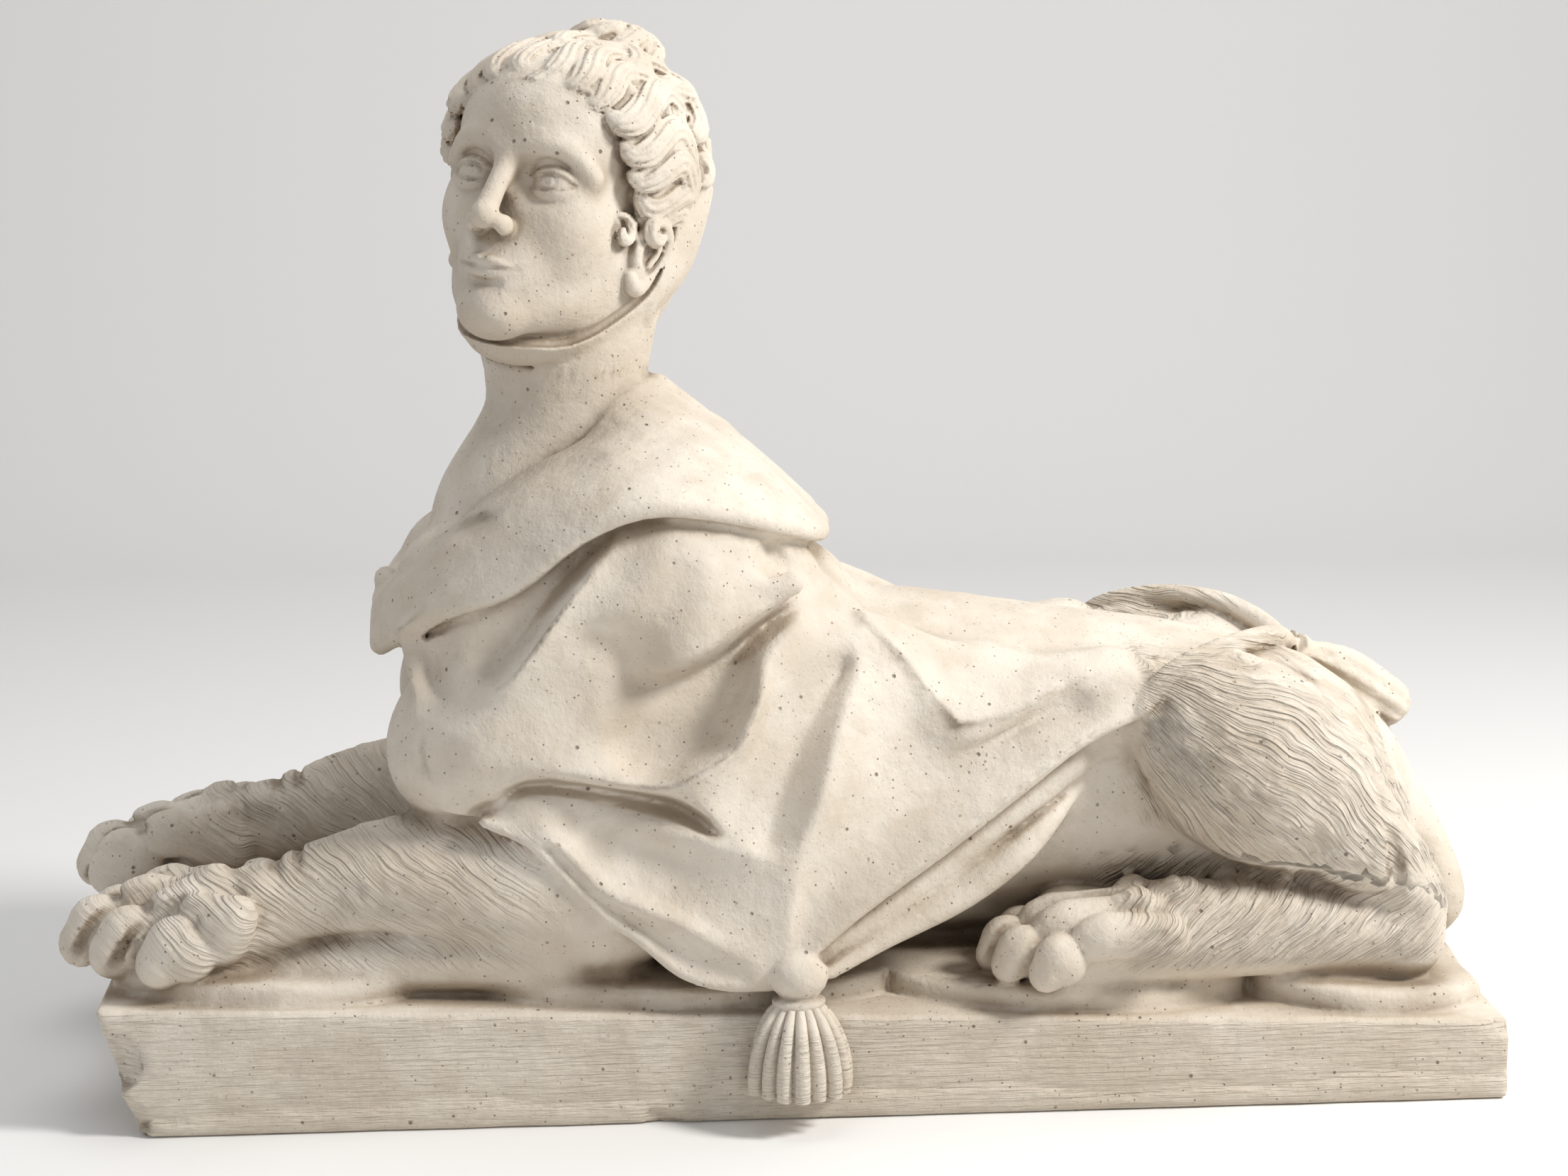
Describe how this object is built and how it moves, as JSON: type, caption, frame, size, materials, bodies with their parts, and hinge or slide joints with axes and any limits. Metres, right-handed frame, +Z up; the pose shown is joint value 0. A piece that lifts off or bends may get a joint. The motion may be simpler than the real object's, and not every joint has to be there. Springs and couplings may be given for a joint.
{
  "type": "sphinx statue",
  "caption": "Reclining female sphinx in draped cloth with side tassels, lion's paws and a turned, raised head, cast in one piece with its low oblong plinth.",
  "frame": {"origin": "middle of the plinth's flat underside", "axes": "+Z up; X along the plinth, the sphinx facing -X; its face is turned towards -Y, its own left side"},
  "size_m": [1.1765, 0.4953, 0.8662],
  "materials": {
    "cast_stone": "matt cream cast stone with small air holes, brown specks and darker hollows"
  },
  "bodies": {
    "root": {"sphinx_statue": "cast_stone"}
  },
  "joints": []
}
